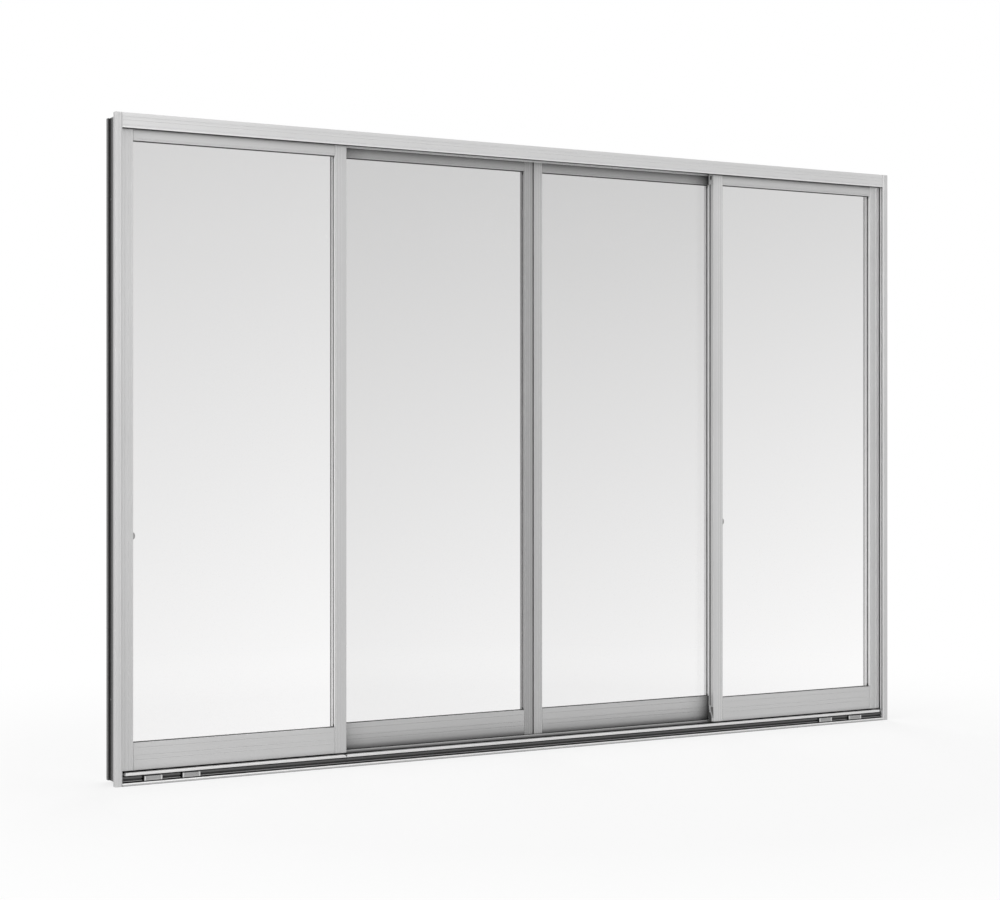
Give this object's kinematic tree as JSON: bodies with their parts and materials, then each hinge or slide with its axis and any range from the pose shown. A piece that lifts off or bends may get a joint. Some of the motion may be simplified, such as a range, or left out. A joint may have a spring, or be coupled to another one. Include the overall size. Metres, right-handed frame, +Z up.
{
  "type": "sliding door",
  "caption": "Glazed aluminium sliding door on a front and a back track; the inner panels meet in the middle and every panel slides sideways.",
  "frame": {"origin": "middle of the flat underside of the sill", "axes": "+X along the door to the right seen from the front, +Z up, the front faces -Y"},
  "size_m": [3, 0.11, 2.05],
  "materials": {
    "satin_aluminium": "natural satin anodised",
    "clear_glass": "clear",
    "black_rubber": "matt",
    "stainless_steel": "drawn along the rail",
    "grey_plastic": "moulded",
    "nylon": "turned nylon, dark grey"
  },
  "bodies": {
    "frame": {"head": "satin_aluminium", "sill": "satin_aluminium", "left_jamb": "satin_aluminium", "right_jamb": "satin_aluminium", "front_rail_cap": "stainless_steel", "back_rail_cap": "stainless_steel", "drain_covers": "grey_plastic", "left_jamb_seals": "black_rubber", "right_jamb_seals": "black_rubber", "head_seals": "black_rubber"},
    "panel_1": {"panel_1_left_stile": "satin_aluminium", "panel_1_right_stile": "satin_aluminium", "panel_1_top_rail": "satin_aluminium", "panel_1_bottom_rail": "satin_aluminium", "panel_1_glass": "clear_glass", "panel_1_gasket": "black_rubber", "panel_1_rollers": "nylon", "panel_1_guides": "grey_plastic", "panel_1_latch": "grey_plastic"},
    "panel_2": {"panel_2_left_stile": "satin_aluminium", "panel_2_right_stile": "satin_aluminium", "panel_2_top_rail": "satin_aluminium", "panel_2_bottom_rail": "satin_aluminium", "panel_2_glass": "clear_glass", "panel_2_gasket": "black_rubber", "panel_2_rollers": "nylon", "panel_2_guides": "grey_plastic", "panel_2_meeting_seal": "black_rubber"},
    "panel_3": {"panel_3_left_stile": "satin_aluminium", "panel_3_right_stile": "satin_aluminium", "panel_3_top_rail": "satin_aluminium", "panel_3_bottom_rail": "satin_aluminium", "panel_3_glass": "clear_glass", "panel_3_gasket": "black_rubber", "panel_3_rollers": "nylon", "panel_3_guides": "grey_plastic"},
    "panel_4": {"panel_4_left_stile": "satin_aluminium", "panel_4_right_stile": "satin_aluminium", "panel_4_top_rail": "satin_aluminium", "panel_4_bottom_rail": "satin_aluminium", "panel_4_glass": "clear_glass", "panel_4_gasket": "black_rubber", "panel_4_rollers": "nylon", "panel_4_guides": "grey_plastic", "panel_4_latch": "grey_plastic"}
  },
  "joints": [
    {"name": "panel_1_slide", "type": "slide", "parent": "frame", "child": "panel_1", "axis": [1, 0, 0], "range_m": [0, 0.715]},
    {"name": "panel_2_slide", "type": "slide", "parent": "frame", "child": "panel_2", "axis": [1, 0, 0], "range_m": [-0.715, 0]},
    {"name": "panel_3_slide", "type": "slide", "parent": "frame", "child": "panel_3", "axis": [1, 0, 0], "range_m": [0, 0.715]},
    {"name": "panel_4_slide", "type": "slide", "parent": "frame", "child": "panel_4", "axis": [1, 0, 0], "range_m": [-0.715, 0]}
  ]
}
